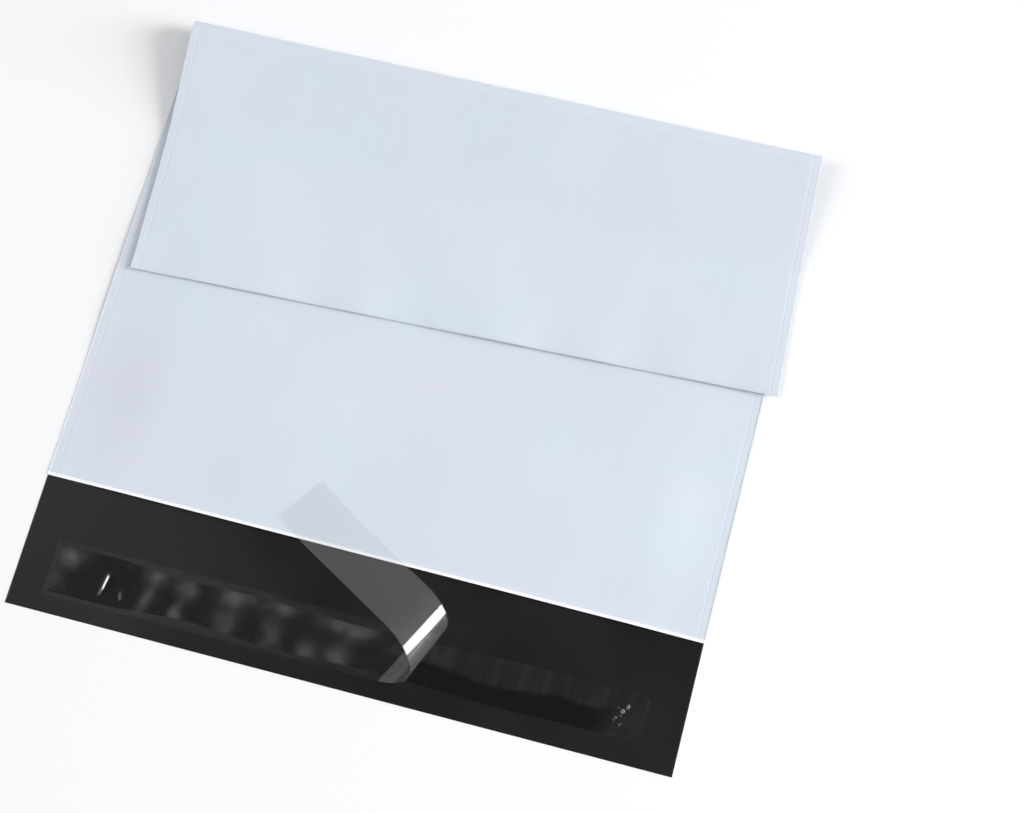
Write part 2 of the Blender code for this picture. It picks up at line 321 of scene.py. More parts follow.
def makeBlackFilm(side):
    material, nodes, shader = newMaterial("black_film")
    place = nodes.add("ShaderNodeUVMap", uv_map="UVMap").outputs[0]
    across, _, _ = nodes.split(place)
    pale = nodes.smooth(across, blackFilm["paleTo"], blackFilm["paleFrom"], 1.0, 0.0)
    patchy = nodes.pattern(place, **blackFilm["patches"])
    share = blackFilm["paleShare"]
    tint = nodes.blend(pale * share + patchy * (1.0 - share), blackFilm["dark"], blackFilm["light"])
    fromSide = side - abs(across)
    # Painted highlight along the film's sides, broken up by noise
    paintedEdgeHighlight = nodes.smooth(fromSide, 0.0, blackFilm["edgeHighlightReach"], 1.0, 0.0)
    paintedEdgeHighlight = paintedEdgeHighlight * nodes.pattern(place, **blackFilm["edgeHighlightBreaks"])
    tint = nodes.blend(paintedEdgeHighlight, tint, blackFilm["cut"])
    grain = nodes.noise(place, **blackFilm["grain"]) * blackFilm["grainDepth"]
    setShader(nodes, shader, Base_Color=tint, Normal=nodes.bump(grain))
    setShader(nodes, shader, Roughness=nodes.pattern(place, **blackFilm["roughness"]))
    setShader(nodes, shader, IOR=blackFilm["index"], Specular_IOR_Level=blackFilm["specular"])
    return material


glueLook = {
    "wetted": (0.0038, 0.0039, 0.0042, 1.0),
    "paintedGlueSheen": (0.0235, 0.0235, 0.0255, 1.0),  # painted sheen: bare glue painted lighter towards the mouth, standing in for the light its gloss reflects
    "sheenSpan": (0.0155, 0.0185),  # from the flap's edge
    "sheenWander": {"size": 60.0, "detail": 2.0, "reach": 0.0080},
    "sheenEnd": (0.0920, 0.1020),  # along the flap, past which the painted sheen covers it all
    "streaks": {"size": 1.0, "detail": 2.0, "span": (0.38, 0.72), "values": (0.58, 1.0)},
    "streaksAlongFlap": 270.0,  # features per metre: fine along the flap and long across it
    "streaksAcrossFlap": 34.0,
    "blotches": {"size": 46.0, "detail": 2.0, "span": (0.30, 0.60), "values": (0.60, 1.0)},
    "frosted": (0.153, 0.150, 0.144, 1.0),  # where the liner has come off the glue underneath
    "coverFade": 0.0040,  # before the peel line, where the bare glue's look takes over
    "dropGlint": (0.150, 0.150, 0.155, 1.0),  # painted glint: the drops at the right end are painted pale grey, standing in for the light they catch
    "dropGlintSpan": (0.00003, 0.00022),  # above the band, where a drop gets that colour
    "smudgeFade": 1.65,
    "smudgeWanderX": {"size": 120.0, "detail": 1.0, "reach": 0.0060},
    "smudgeWanderY": {"size": 150.0, "detail": 1.0, "reach": 0.0040},
    "smudgeGrain": {"size": 150.0, "detail": 3.0, "span": (0.25, 0.75), "values": (0.45, 1.0)},
    "smudges": [
        # middle along and across the flap, half length along and across, strength
        (-0.1068, 0.0230, 0.0062, 0.0040, 0.60),
        (-0.1102, 0.0140, 0.0040, 0.0080, 0.22),
        (-0.0738, 0.0236, 0.0056, 0.0048, 0.45),
        (-0.0754, 0.0140, 0.0028, 0.0095, 0.42),
        (-0.0618, 0.0230, 0.0044, 0.0060, 0.42),
        (-0.0637, 0.0105, 0.0030, 0.0066, 0.55),
        (-0.0432, 0.0234, 0.0074, 0.0046, 0.62),
        (-0.0458, 0.0125, 0.0048, 0.0066, 0.42),
        (-0.0262, 0.0236, 0.0062, 0.0048, 0.50),
        (-0.0277, 0.0125, 0.0044, 0.0066, 0.40),
        (-0.0008, 0.0232, 0.0120, 0.0048, 0.55),
        (-0.0135, 0.0105, 0.0044, 0.0054, 0.36),
        (-0.0022, 0.0105, 0.0058, 0.0064, 0.50),
    ],
    "roughness": {"size": 70.0, "detail": 2.0, "span": (0.3, 0.7), "values": (0.16, 0.32)},
    "specular": 0.165,
    "index": 1.48,
}


def makeGlue(origin, lean, middle):
    # Pale smudges show where the strip has come off the glue but still lies on it. The bare glue gets a
    # painted sheen, and the drops a painted glint.
    material, nodes, shader = newMaterial("hot_melt")
    x, y, z = nodes.split(nodes.add("ShaderNodeTexCoord").outputs["Object"])
    flat = nodes.vector(x, y)
    fromMiddle, fromEdge = x - origin.x, y - origin.y
    wavyX = fromMiddle + nodes.wander(flat, **glueLook["smudgeWanderX"])
    wavyY = fromEdge + nodes.wander(flat, **glueLook["smudgeWanderY"])
    smudged = 0.0
    for middleX, middleY, halfX, halfY, strength in glueLook["smudges"]:
        aside, above = (wavyX - middleX) / halfX, (wavyY - middleY) / halfY
        fade = nodes.calc("EXPONENT", (aside * aside + above * above) * -glueLook["smudgeFade"])
        smudged = smudged + fade * strength
    past = fromMiddle - (fromEdge - middle) * lean
    covered = nodes.smooth(past, liner["peeledTo"] - glueLook["coverFade"], liner["peeledTo"], 1.0, 0.0)
    frosted = smudged * nodes.pattern(flat, **glueLook["smudgeGrain"]) * covered

    # Painted sheen: the bare glue is painted lighter towards the mouth and its right end, broken by the
    # glue's own streaks and blotches
    sheenFrom = fromEdge + nodes.wander(flat, **glueLook["sheenWander"])
    sheened = nodes.smooth(sheenFrom, *glueLook["sheenSpan"])
    sheened = nodes.calc("MAXIMUM", sheened, nodes.smooth(wavyX, *glueLook["sheenEnd"]))
    stretched = nodes.vector(x * glueLook["streaksAlongFlap"], y * glueLook["streaksAcrossFlap"])
    streaky = nodes.pattern(stretched, **glueLook["streaks"])
    bareSheen = sheened * streaky * nodes.pattern(flat, **glueLook["blotches"]) * (1.0 - covered)

    tint = nodes.blend(bareSheen, glueLook["wetted"], glueLook["paintedGlueSheen"])
    tint = nodes.blend(frosted, tint, glueLook["frosted"])
    # Painted glint: the drops are painted pale where they stand above the band's top
    top = glue["base"] + glue["thickness"]
    glintFrom, glintFull = glueLook["dropGlintSpan"]
    tint = nodes.blend(nodes.smooth(z, top + glintFrom, top + glintFull), tint, glueLook["dropGlint"])
    setShader(nodes, shader, Base_Color=tint, Roughness=nodes.pattern(flat, **glueLook["roughness"]))
    setShader(nodes, shader, IOR=glueLook["index"], Specular_IOR_Level=glueLook["specular"])
    return material


clingingFilm = {
    "tint": (0.975, 0.975, 0.970, 1.0),
    "transmission": 0.998,
    "roughness": 0.05,
    "index": 1.10,  # low, as the glue wets its lower face
    "shade": (0.97, 0.97, 0.97, 1.0),
}

peeledFilm = {
    "tint": (0.930, 0.932, 0.940, 1.0),
    "transmission": 0.974,
    "roughness": 0.035,
    "index": 1.46,
    "shade": (0.965, 0.965, 0.970, 1.0),
}


def makeLinerFilm(name, look):
    # Clear film, which lets light through evenly instead of casting thick glass's dark shadow
    material, nodes, shader = newMaterial(name)
    setShader(nodes, shader, Base_Color=look["tint"], IOR=look["index"], Roughness=look["roughness"])
    setShader(nodes, shader, Transmission_Weight=look["transmission"])
    through = nodes.add("ShaderNodeBsdfTransparent", {"Color": look["shade"]})
    path = nodes.add("ShaderNodeLightPath")
    lit = nodes.calc("MAXIMUM", path.outputs["Is Shadow Ray"], path.outputs["Is Diffuse Ray"])
    mix = nodes.add("ShaderNodeMixShader", {0: lit, 1: shader.outputs[0], 2: through.outputs[0]})
    nodes.put(mix.outputs[0], material.node_tree.nodes["Material Output"].inputs["Surface"])
    return material


# The film: one web, folded at the closed end, welded down its sides and folded over

film = {
    "width": 0.250,
    "pouchDepth": 0.300,
    "flapDepth": 0.050,
    "thickness": 0.00006,
    "sealWidth": 0.0012,
    "sealGap": 0.00002,
    "pouchGap": 0.0004,
    "easeIn": 0.030,
    "belly": 0.0009,
    "turnLength": 0.0001,  # of the web, at the closed end's crease
    "panelShowing": 0.0914,
    "foldSkew": math.radians(1.4),
    "foldRadius": 0.0050,
    "foldSlope": math.radians(12.0),
    "landingRadius": 0.060,
    "layersRise": 0.00134,
    "guideTail": 0.2,  # of the fold's path, straight on past the landing
    "beadRadius": 0.00014,
    "beadSides": 7,
    "beadUneven": {"size": 420.0, "detail": 2.0, "span": (0.25, 0.75), "values": (0.55, 1.35)},
    "onSide": 0.00001,  # a point nearer to the web's side than this is on it
    "ripple": 0.00042,
    "rippleSize": 13.0,  # features per metre
    "rippleForm": {"detail": 1.0, "span": (0.34, 0.66)},
    "flapRipple": 0.00010,
    "growBefore": 0.004,  # round the mouth line, where the flap's ripples become the pouch's
    "growAfter": 0.012,
    "slackTurns": (-0.012, 0.014),  # past the fold's start, where the slack changes sides
    "pucker": 0.00012,
    "puckerPitch": 0.0075,
    "puckerWarp": {"size": 60.0, "detail": 1.0},
    "puckerShift": 2.2,  # pitches, at most
    "puckerFull": 0.0025,  # past the weld, where they are full and where they start to fade
    "puckerFade": 0.003,
    "puckerReach": 0.013,
    "puckerPatches": {"size": 31.0, "detail": 1.0, "span": (0.38, 0.68)},
    "lip": 0.00055,
    "lipReach": 0.0012,
    "endLift": 0.0006,
    "endWave": {"size": 21.0, "detail": 1.0, "span": (0.35, 0.65)},
    "endSeed": 3.0,  # more than the film's seed
    "seed": 4.0,
    "step": 0.0026,  # of the web's rows and columns
    "fineStep": 0.0007,  # of its rows round the fold
    "finePast": 0.001,  # and so far past it
    "edgeStep": 0.0005,  # of its first column in from each side
    "puckerStep": 0.0014,  # of its columns beside the weld
    "puckerBand": 0.008,  # and so far in from it
    "bendStep": math.radians(1.5),  # of the fold's path
    "sharpAngle": math.radians(50),
}

filmLow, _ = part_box("mailer_film")
bagOrigin = Vector((filmLow[0] + film["width"] / 2, filmLow[1], 0.0))
backLength = film["flapDepth"] + film["pouchDepth"]
webLength = backLength + film["pouchDepth"]


def foldRuns():
    # The fold's path as lengths and turns: round the fold, down the slope, and level again
    radius, slope, landing = film["foldRadius"], film["foldSlope"], film["landingRadius"]
    drop = radius * (1 + math.cos(slope)) - landing * (1 - math.cos(slope)) - film["layersRise"]
    return [
        (radius * (math.pi + slope), math.pi + slope),
        (drop / math.sin(slope), 0.0),
        (landing * slope, -slope),
    ]


def tracePath(runs, tail):
    # Points along the runs and a straight tail, in the X and Z of a side view
    points, heading = [Vector((0.0, 0.0, 0.0))], 0.0
    for length, turn in [*runs, (tail, 0.0)]:
        steps = max(1, math.ceil(abs(turn) / film["bendStep"]))
        for _ in range(steps):
            heading += turn / steps / 2
            step = Vector((math.cos(heading), 0.0, math.sin(heading))) * (length / steps)
            points.append(points[-1] + step)
            heading += turn / steps / 2
    return points


def foldStart(runs):
    # Where the fold begins on the middle line, for the closed end to land where it should
    bent = sum(length for length, turn in runs)
    landed = tracePath(runs, 0.0)[-1].x
    endPlace = film["flapDepth"] + film["panelShowing"]
    return (endPlace + backLength - (bent + landed) / math.cos(film["foldSkew"])) / 2


def makeWeb(start):
    # The web before folding, X across and Y along from the flap's edge, finer where it bends
    side, weld = film["width"] / 2, film["width"] / 2 - film["sealWidth"]
    half = [side, side - film["edgeStep"]] + evenly(weld, weld - film["puckerBand"], film["puckerStep"])
    half += evenly(half[-1], 0.0, film["step"])[1:]
    columns = [-x for x in half] + half[-2::-1]
    spread = side * math.sin(film["foldSkew"]) + film["finePast"]
    fine = evenly(start - spread, start + math.pi * film["foldRadius"] + spread, film["fineStep"])
    mouth, lipReach = film["flapDepth"], film["lipReach"]
    back = evenly(0.0, mouth, film["step"]) + [mouth + lipReach / 2]
    back += evenly(mouth + lipReach, fine[0], film["step"]) + fine[1:]
    back += evenly(fine[-1], backLength - film["turnLength"], film["step"])[1:]
    front = [2 * backLength - place for place in reversed(back) if place >= mouth]
    places = [(x, place, 0.0) for place in back + [backLength] + front for x in columns]
    return makeSheet("mailer_film_web", places, places, len(columns))


def makeFoldTree(values):
    tree, nodes, given = newGeometryTree("foldBag", values)

    # Where a point of the web lies on the laid-out bag
    x, along = nodes.flatPlace()
    back = given["Flap Depth"] + given["Pouch Depth"]
    fromEnd = abs(along - back)
    y = back - fromEnd
    front = nodes.smooth(along - back, -given["Turn Length"], given["Turn Length"])
    fromSide = given["Width"] * 0.5 - abs(x)
    weld = given["Seal Width"]
    inward = nodes.smooth(fromSide, weld, weld + given["Ease In"])
    closed = nodes.smooth(fromEnd, 0.0, given["Ease In"])
    mouth = given["Flap Depth"]
    inPouch = nodes.smooth(y, mouth - film["growBefore"], mouth + film["growAfter"])

    # The front panel's height over the back panel
    gap = given["Seal Gap"] + (given["Pouch Gap"] - given["Seal Gap"]) * inward * closed
    uncovered = (y - mouth) / (given["Showing To"] - mouth) * math.pi
    hump = nodes.calc("SINE", nodes.calc("MINIMUM", nodes.calc("MAXIMUM", uncovered, 0.0), math.pi))
    lip = given["Lip"] * nodes.smooth(y - mouth, 0.0, given["Lip Reach"], 1.0, 0.0) * inward
    over = front * (given["Thickness"] * 2.0 + gap + given["Belly"] * hump * hump * inward + lip)

    # Which way the fold turns the surface, and how far past the fold's start a point is
    towards = nodes.calc("COSINE", given["Fold Angle"])
    aside = -nodes.calc("SINE", given["Fold Angle"])
    past = x * aside + (y - given["Fold Start"]) * towards
    bent = nodes.calc("MAXIMUM", past, 0.0)
    outward = nodes.smooth(past, *film["slackTurns"], 1.0, -1.0)

    # Slack in the film: broad ripples, small puckers along the seals, and a wavy closed end
    spot = nodes.vector(x, y, given["Seed"])
    broad = nodes.pattern(spot, given["Ripple Size"], **film["rippleForm"])
    depth = given["Flap Ripple"] + (given["Ripple"] - given["Flap Ripple"]) * inPouch
    phase = y / given["Pucker Pitch"] + nodes.noise(spot, **film["puckerWarp"]) * film["puckerShift"]
    wave = nodes.calc("SINE", phase * (2 * math.pi)) * 0.5 + 0.5
    reach = nodes.smooth(fromSide, weld, weld + film["puckerFull"])
    reach = reach * nodes.smooth(fromSide, weld + film["puckerFade"], given["Pucker Reach"], 1.0, 0.0)
    patchy = nodes.pattern(spot, **film["puckerPatches"])
    pucker = given["Pucker"] * wave * reach * patchy * inPouch
    endWave = nodes.pattern(nodes.vector(x, given["Seed"] + film["endSeed"]), **film["endWave"])
    lift = given["End Lift"] * endWave * nodes.smooth(fromEnd, 0.0, given["Ease In"], 1.0, 0.0)
    height = over + outward * (depth * broad + pucker) - lift

    # Round the fold
    guide = nodes.add("GeometryNodeObjectInfo", {"Object": given["Fold Path"]})
    sampled = {"Curves": guide.outputs["Geometry"], "Length": bent}
    path = nodes.add("GeometryNodeSampleCurve", sampled, mode="LENGTH", use_all_curves=True)
    reached, _, rise = nodes.split(path.outputs["Position"])
    tangentX, _, tangentZ = nodes.split(path.outputs["Tangent"])
    shift = reached - tangentZ * height - bent
    placed = nodes.vector(x + shift * aside, y + shift * towards, rise + tangentX * height)
    placed = nodes.add("ShaderNodeVectorMath", {0: placed, 1: given["Origin"]}, operation="ADD").outputs[0]
    folded = nodes.move(given["Geometry"], Position=placed)

    # The film's thickness, its inner face towards the inside of the bag
    shell, innerFace = nodes.extrude(folded, {"Offset Scale": given["Thickness"]})
    shell = nodes.dress(nodes.dress(shell, given["Outside"]), given["Inside"], innerFace)
    web = nodes.close(shell, nodes.dress(nodes.flip(folded), given["Outside"]))

    # The bead that the hot knife leaves along each side
    welded = nodes.calc("LESS_THAN", fromSide, film["onSide"]) * nodes.calc("GREATER_THAN", along, back)
    lines = nodes.add("GeometryNodeMeshToCurve", {"Mesh": folded, "Selection": welded}).outputs[0]
    uneven = nodes.pattern(nodes.vector(x, along), **film["beadUneven"])
    ring = {"Resolution": film["beadSides"], "Radius": given["Bead Radius"]}
    ring = nodes.add("GeometryNodeCurvePrimitiveCircle", ring).outputs[0]
    beads = {"Curve": lines, "Profile Curve": ring, "Scale": uneven, "Fill Caps": True}
    beads = nodes.add("GeometryNodeCurveToMesh", beads).outputs[0]
    nodes.finish(nodes.makeReal(nodes.join(web, nodes.dress(beads, given["Outside"]))))
    return tree


def makeBagFilm(outside, inside):
    runs = foldRuns()
    start = foldStart(runs)
    curve = bpy.data.curves.new("foldGuide", "CURVE")
    curve.dimensions = "3D"
    points = tracePath(runs, film["guideTail"])
    spline = curve.splines.new("POLY")
    spline.points.add(len(points) - 1)
    for point, place in zip(spline.points, points):
        point.co = (*place, 1.0)
    guide = addObject("foldGuide", curve)
    web = addObject("mailer_bag_film", makeWeb(start))
    values = {
        "Width": film["width"], "Flap Depth": film["flapDepth"], "Pouch Depth": film["pouchDepth"],
        "Thickness": film["thickness"], "Seal Width": film["sealWidth"], "Seal Gap": film["sealGap"],
        "Pouch Gap": film["pouchGap"], "Ease In": film["easeIn"], "Belly": film["belly"],
        "Showing To": film["flapDepth"] + film["panelShowing"] - film["easeIn"] / 2,
        "Turn Length": film["turnLength"], "Bead Radius": film["beadRadius"],
        "Ripple": film["ripple"], "Ripple Size": film["rippleSize"], "Flap Ripple": film["flapRipple"],
        "Pucker": film["pucker"], "Pucker Pitch": film["puckerPitch"],
        "Pucker Reach": film["puckerReach"], "Lip": film["lip"], "Lip Reach": film["lipReach"],
        "End Lift": film["endLift"], "Seed": film["seed"], "Origin": tuple(bagOrigin),
        "Fold Angle": film["foldSkew"], "Fold Start": start, "Fold Path": guide,
        "Outside": outside, "Inside": inside,
    }
    runTree(web, makeFoldTree(values), values)
    bpy.data.objects.remove(guide)
    web.data.set_sharp_from_angle(angle=film["sharpAngle"])
    return web


# The release liner, attached on the left and peeled from the right

liner = {
    "width": 0.0210,
    "thickness": 0.00005,
    "fromFlapEdge": 0.0066,
    "left": -0.1130,
    "right": 0.1215,
    "peeledTo": 0.0164,
    "wetReach": 0.0034,  # past there the film is still so near the glue that it looks wetted
    "peelAngle": math.radians(62.1),
    "peelAngleAtEnd": math.radians(83.7),
    "loopRadius": 0.0113,
    "loopTurn": math.radians(200.6),
    "landingRadius": 0.040,
    "rest": 0.00042,
    "landing": 0.0019,
    "wrinkle": 0.00006,
    "wrinklePitch": 0.0172,
    "wrinkleWarp": {"size": 55.0, "detail": 1.0},
    "wrinkleShift": 0.9,  # of the pitch, at most
    "wrinklePatches": {"size": 75.0, "detail": 2.0, "span": (0.36, 0.70)},
    "wrinkleFade": (0.020, 0.006),  # before the peel line, from full to none
    "wrinkleSides": (0.0065, 0.0105),  # from the strip's middle, where they grow shallower
    "wrinkleAtSides": 0.15,
    "creases": [
        {"x": -0.0920, "y": 0.0158, "length": 0.0096, "width": 0.00075, "height": 0.00066, "lean": 0.15},
        {"x": -0.0850, "y": 0.0130, "length": 0.0030, "width": 0.00055, "height": 0.00042, "lean": -0.30},
    ],
    "creased": (-0.0942, -0.0838),  # from and to, along the strip
    "creaseTaper": 0.6,  # of half a crease's length, past which it tapers
    "creaseDry": 0.1,  # of its height, above which the film no longer looks wetted
    "seed": 7.0,
    "bendStep": math.radians(3.0),
    "slopeRows": 14,  # from the loop down to the landing
    "spare": 0.1,  # past the landing, to cut the strip's end from
    "step": 0.0008,
    "fineStep": 0.00014,
    "acrossStep": 0.0007,
    "leanRoom": 0.0005,  # between the last square row and the first that leans
    "cutRoom": 0.0002,  # between the last whole row and the strip's end
    "sharpAngle": math.radians(50),
}

stripMiddle = liner["fromFlapEdge"] + liner["width"] / 2
peelLean = 1 / math.tan(liner["peelAngle"])  # of the peel line, along the strip for each metre across


class PeeledStrip:
    # A level strip followed along its middle line, while it bends about lines that may lean
    def __init__(self, place, centre):
        self.place = place
        self.centre = Vector(centre)
        self.facing = Matrix.Identity(3)
        self.rows = []

    def mark(self, lean):
        across = self.facing @ Vector((lean, 1.0, 0.0))
        self.rows.append((self.place, lean, self.centre.copy(), across))

    def advance(self, length):
        self.centre += length * (self.facing @ Vector((1.0, 0.0, 0.0)))
        self.place += length

    def bend(self, radius, turn, firstAngle, lastAngle):
        steps = max(1, math.ceil(abs(turn) / liner["bendStep"]))
        step = turn / steps
        for k in range(steps):
            angle = firstAngle + (lastAngle - firstAngle) * (k + 0.5) / steps
            axis = self.facing @ Vector((math.cos(angle), math.sin(angle), 0.0))
            halfTurn = Matrix.Rotation(-step / 2, 3, axis)
            self.facing = halfTurn @ self.facing
            self.advance(radius * abs(step) / math.sin(angle))
            self.facing = halfTurn @ self.facing
            nextAngle = firstAngle + (lastAngle - firstAngle) * (k + 1) / steps
            self.mark(1 / math.tan(nextAngle))


def peelRows():
    # From the peel line round the loop, down a slope and onto the bag
    firstAngle, lastAngle = liner["peelAngle"], liner["peelAngleAtEnd"]
    strip = PeeledStrip(liner["peeledTo"], (liner["peeledTo"], stripMiddle, liner["rest"]))
    strip.mark(peelLean)
    strip.bend(liner["loopRadius"], liner["loopTurn"], firstAngle, lastAngle)
    along, across, out = strip.facing.col
    level = out.cross(Vector((0.0, 0.0, 1.0))).normalized()
    if level.dot(across) < 0.0:
        level = -level
    levelAngle = math.atan2(level.dot(across), level.dot(along))
    slope = math.acos(-out.z)
    drop = liner["landingRadius"] * (1 - math.cos(slope))
    down = (strip.centre.z - liner["landing"] - drop) / -along.z
    rows = liner["slopeRows"]
    for k in range(1, rows + 1):
        strip.advance(down / rows)
        strip.mark(1 / math.tan(lastAngle + (levelAngle - lastAngle) * k / rows))
    strip.bend(liner["landingRadius"], -slope, levelAngle, levelAngle)
    strip.advance(liner["spare"])
    strip.mark(0.0)
    return strip.rows


def makeLinerStrip():
    # Rows of the strip: square across where it is attached, and along the bends where it isn't
    near, width, cut = liner["fromFlapEdge"], liner["width"], liner["right"]
    sides = evenly(near, near + width, liner["acrossStep"])
    leanReach = peelLean * width / 2 + liner["leanRoom"]
    creasedFrom, creasedTo = liner["creased"]
    attached = evenly(liner["left"], creasedFrom, liner["step"])
    attached += evenly(creasedFrom, creasedTo, liner["fineStep"])[1:]
    attached += evenly(creasedTo, liner["peeledTo"] - leanReach, liner["step"])[1:]
    laid = [[(x, Vector((x, y, liner["rest"]))) for y in sides] for x in attached]
    offsets = [y - stripMiddle for y in sides]
    for place, lean, centre, across in peelRows():
        laid.append([(place + lean * offset, centre + offset * across) for offset in offsets])

    # The strip's right end, cut square
    rows = [row for row in laid if max(place for place, point in row) < cut - liner["cutRoom"]]
    lastRow = []
    for column in zip(*laid):
        beyond = next(k for k, (place, point) in enumerate(column) if place >= cut)
        (before, pointBefore), (after, pointAfter) = column[beyond - 1], column[beyond]
        lastRow.append((cut, pointBefore.lerp(pointAfter, (cut - before) / (after - before))))
    rows.append(lastRow)

    points = [bagOrigin + point for row in rows for place, point in row]
    places = [(place, y, 0.0) for row in rows for (place, point), y in zip(row, sides)]
    return makeSheet("release_liner_strip", points, places, len(sides))


def makeLinerTree(values):
    tree, nodes, given = newGeometryTree("wrinkleLiner", values)
    along, y = nodes.flatPlace()
    fromMiddle = y - given["Near"] - given["Width"] * 0.5
    peeledTo = given["Peeled To"]

    # Faint wrinkles in the attached part
    spot = nodes.vector(along, y, given["Seed"])
    warp = nodes.noise(spot, **liner["wrinkleWarp"]) * liner["wrinkleShift"]
    wave = nodes.calc("SINE", (along / given["Wrinkle Pitch"] + warp) * (2 * math.pi)) * 0.5 + 0.5
    patchy = nodes.pattern(spot, **liner["wrinklePatches"])
    fadeFrom, fadeTo = liner["wrinkleFade"]
    attached = nodes.smooth(along, peeledTo - fadeFrom, peeledTo - fadeTo, 1.0, 0.0)
    inside = nodes.smooth(abs(fromMiddle), *liner["wrinkleSides"], 1.0, liner["wrinkleAtSides"])
    rise = given["Wrinkle"] * attached * wave * wave * patchy * inside

    # Sharp creases, where the film stands off the glue
    creased = 0.0
    for crease in liner["creases"]:
        offset = y - crease["y"]
        aside = abs(along - crease["x"] - offset * crease["lean"])
        ridge = nodes.calc("MAXIMUM", 1.0 - aside / crease["width"], 0.0)
        reach = crease["length"] / 2
        taper = nodes.smooth(abs(offset), reach * liner["creaseTaper"], reach, 1.0, 0.0)
        rise = rise + ridge * taper * crease["height"]
        creased = creased + ridge * taper

    moved = nodes.move(given["Geometry"], Offset=nodes.vector(0.0, 0.0, rise))
    extruded, _ = nodes.extrude(moved, {"Offset Scale": given["Thickness"]})
    strip = nodes.makeReal(nodes.close(extruded, nodes.flip(moved)))
    past = along - fromMiddle * given["Peel Lean"]
    dry = nodes.calc("GREATER_THAN", past, peeledTo + given["Wet Reach"])
    dry = dry + nodes.calc("GREATER_THAN", creased, liner["creaseDry"])
    nodes.finish(nodes.dress(nodes.dress(strip, given["Clinging"]), given["Peeled"], dry))
    return tree


def makeLiner(clinging, peeled):
    strip = addObject("release_liner_strip", makeLinerStrip())
    values = {
        "Thickness": liner["thickness"], "Near": liner["fromFlapEdge"], "Width": liner["width"],
        "Wrinkle": liner["wrinkle"], "Wrinkle Pitch": liner["wrinklePitch"],
        "Peeled To": liner["peeledTo"], "Peel Lean": peelLean,
        "Wet Reach": liner["wetReach"], "Seed": liner["seed"],
        "Clinging": clinging, "Peeled": peeled,
    }
    runTree(strip, makeLinerTree(values), values)
    strip.data.set_sharp_from_angle(angle=liner["sharpAngle"])
    return strip


# The glue under and beside the liner

glue = {
    "length": 0.2230,
    "width": 0.0180,
    "thickness": 0.00010,
    "base": 0.00006,
    "edgeWander": 0.00025,
    "sideWander": {"size": 130.0, "detail": 2.0, "reach": 2.0},  # times edgeWander
    "endWander": {"size": 420.0, "detail": 2.0, "reach": 5.0},
    "sideFrom": 0.40,  # of the width from the middle, where the band starts to thin
    "sideThinning": 0.75,
    "endFrom": 0.49,  # of the length from the middle, likewise
    "endThinning": 0.6,
    "step": 0.0010,
    "acrossStep": 0.0006,
    "drops": 9,
    "smallest": 0.00042,  # half a drop's length across the flap
    "largest": 0.00150,
    "slimness": (0.45, 0.95),  # its length along the flap, of that across
    "height": 0.34,  # of half its length across the flap
    "sunk": -0.15,  # of a drop's height, into the band
    "turned": (-1.2, 0.6),  # radians
    "fromRight": (0.0070, 0.0122),  # where the drops lie, from the band's right end
    "aside": (-0.25, 0.22),  # and from its middle line, of its width
    "dropSegments": 14,
    "dropRings": 9,
    "seed": 19,
    "sharpAngle": math.radians(60),
}


def makeGlueTree(values):
    tree, nodes, given = newGeometryTree("layGlue", values)
    length, width = given["Length"], given["Width"]
    size = {"Size X": length, "Size Y": width}
    size |= {"Vertices X": length / given["Step"], "Vertices Y": width / given["Across Step"]}
    grid = nodes.add("GeometryNodeMeshGrid", size).outputs[0]
    x, y, z = nodes.split(nodes.add("GeometryNodeInputPosition").outputs[0])

    # The band, thinner and wavy along its edges
    outward = nodes.smooth(abs(y), width * glue["sideFrom"], width * 0.5)
    endward = nodes.smooth(abs(x), length * glue["endFrom"], length * 0.5)
    side, end = nodes.calc("SIGN", y), nodes.calc("SIGN", x)
    sideShift = nodes.wander(nodes.vector(x, side), **glue["sideWander"]) * given["Edge Wander"]
    endShift = nodes.wander(nodes.vector(y, end), **glue["endWander"]) * given["Edge Wander"]
    height = given["Thickness"] * (1.0 - glue["sideThinning"] * outward)
    height = height * (1.0 - glue["endThinning"] * endward)
    spread = nodes.vector(endShift * endward, sideShift * outward * side, height)
    top = nodes.move(grid, Offset=spread)
    down = nodes.vector(0.0, 0.0, -given["Thickness"])
    extruded, lower = nodes.extrude(top, {"Offset": down, "Offset Scale": 1.0})
    underside = nodes.move(extruded, Selection=lower, Position=nodes.vector(x, y, 0.0))
    band = nodes.close(nodes.flip(underside), top)

    # A few drops where the glue was cut off at the right end
    row = nodes.add("GeometryNodeMeshLine", {"Count": given["Drops"]}, mode="OFFSET").outputs[0]
    index = nodes.add("GeometryNodeInputIndex").outputs[0]

    def draw(low, high, turn):
        # A random number for each drop, another at each turn
        inputs = {2: low, 3: high, "ID": index, "Seed": given["Seed"] + turn}
        node = nodes.add("FunctionNodeRandomValue", inputs, data_type="FLOAT")
        return Value(nodes, node.outputs[1])

    dropX = length * 0.5 - draw(*glue["fromRight"], 1)
    dropY = width * draw(*glue["aside"], 2)
    row = nodes.move(row, Position=nodes.vector(dropX, dropY, given["Thickness"]))
    ball = {"Segments": glue["dropSegments"], "Rings": glue["dropRings"], "Radius": 1.0}
    ball = nodes.add("GeometryNodeMeshUVSphere", ball).outputs[0]
    dome = nodes.move(ball, Position=nodes.vector(x, y, nodes.calc("MAXIMUM", z, given["Sunk"])))
    chance = draw(0.0, 1.0, 3)
    half = given["Smallest"] + chance * chance * chance * (given["Largest"] - given["Smallest"])
    scale = nodes.vector(half * draw(*glue["slimness"], 4), half, half * given["Height"])
    turned = nodes.vector(0.0, 0.0, draw(*glue["turned"], 5))
    drops = {"Points": row, "Instance": dome, "Scale": scale, "Rotation": turned}
    drops = nodes.add("GeometryNodeInstanceOnPoints", drops).outputs[0]
    whole = {"Geometry": nodes.join(band, drops), "Translation": given["Centre"]}
    whole = nodes.add("GeometryNodeTransform", whole).outputs[0]
    nodes.finish(nodes.dress(nodes.makeReal(whole), given["Material"]))
    return tree


